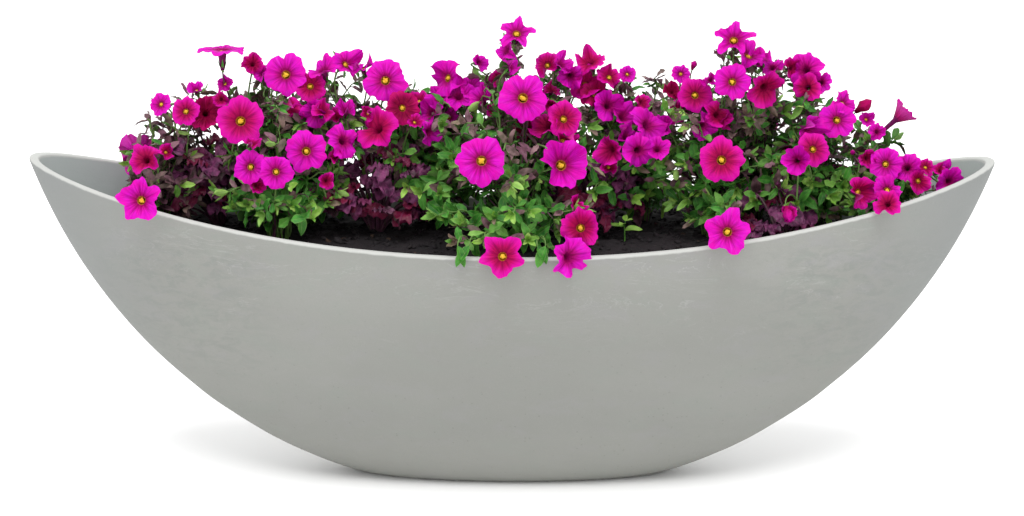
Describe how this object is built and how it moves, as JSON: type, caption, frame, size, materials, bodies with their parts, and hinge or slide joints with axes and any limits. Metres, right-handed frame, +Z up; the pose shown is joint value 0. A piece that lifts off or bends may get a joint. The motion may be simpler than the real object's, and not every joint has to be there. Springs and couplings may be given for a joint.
{
  "type": "planter box",
  "caption": "Long boat-shaped cast planter with raised tips, on a small oval foot ring with drain holes, filled with soil and planted with petunias and purple-leaved plants.",
  "frame": {"origin": "centre of the base's footprint, on the ground", "axes": "+Z up; +X along the planter's length, towards one tip; +Y towards its back long side, so -Y is the side in front"},
  "size_m": [1.1998, 0.3545, 0.6],
  "materials": {
    "fibre_cement": "matte",
    "mesh_plastic": "matte",
    "gravel": "matte",
    "fleece": "matte",
    "potting_soil": "matte",
    "root_ball": "matte",
    "petunia_leaf": "satin",
    "petunia_flower": "matte",
    "purple_leaf": "satin"
  },
  "bodies": {
    "root": {"planter_shell": "fibre_cement", "drain_hole_screens": "mesh_plastic", "drainage_gravel": "gravel", "filter_fleece": "fleece", "soil_fill": "potting_soil", "petunia_1_crown": "petunia_leaf", "petunia_1_root_ball": "root_ball", "purple_leaf_1_crown": "purple_leaf", "purple_leaf_1_root_ball": "root_ball", "petunia_2_crown": "petunia_leaf", "petunia_2_root_ball": "root_ball", "petunia_3_crown": "petunia_leaf", "petunia_3_root_ball": "root_ball", "purple_leaf_2_crown": "purple_leaf", "purple_leaf_2_root_ball": "root_ball", "petunia_4_crown": "petunia_leaf", "petunia_4_root_ball": "root_ball", "petunia_5_crown": "petunia_leaf", "petunia_5_root_ball": "root_ball", "petunia_6_crown": "petunia_leaf", "petunia_6_root_ball": "root_ball", "purple_leaf_3_crown": "purple_leaf", "purple_leaf_3_root_ball": "root_ball", "petunia_7_crown": "petunia_leaf", "petunia_7_root_ball": "root_ball", "petunia_8_crown": "petunia_leaf", "petunia_8_root_ball": "root_ball", "petunia_9_crown": "petunia_leaf", "petunia_9_root_ball": "root_ball", "purple_leaf_4_crown": "purple_leaf", "purple_leaf_4_root_ball": "root_ball", "petunia_10_crown": "petunia_leaf", "petunia_10_root_ball": "root_ball", "petunia_11_crown": "petunia_leaf", "petunia_11_root_ball": "root_ball", "seedling": "petunia_leaf"}
  },
  "joints": []
}
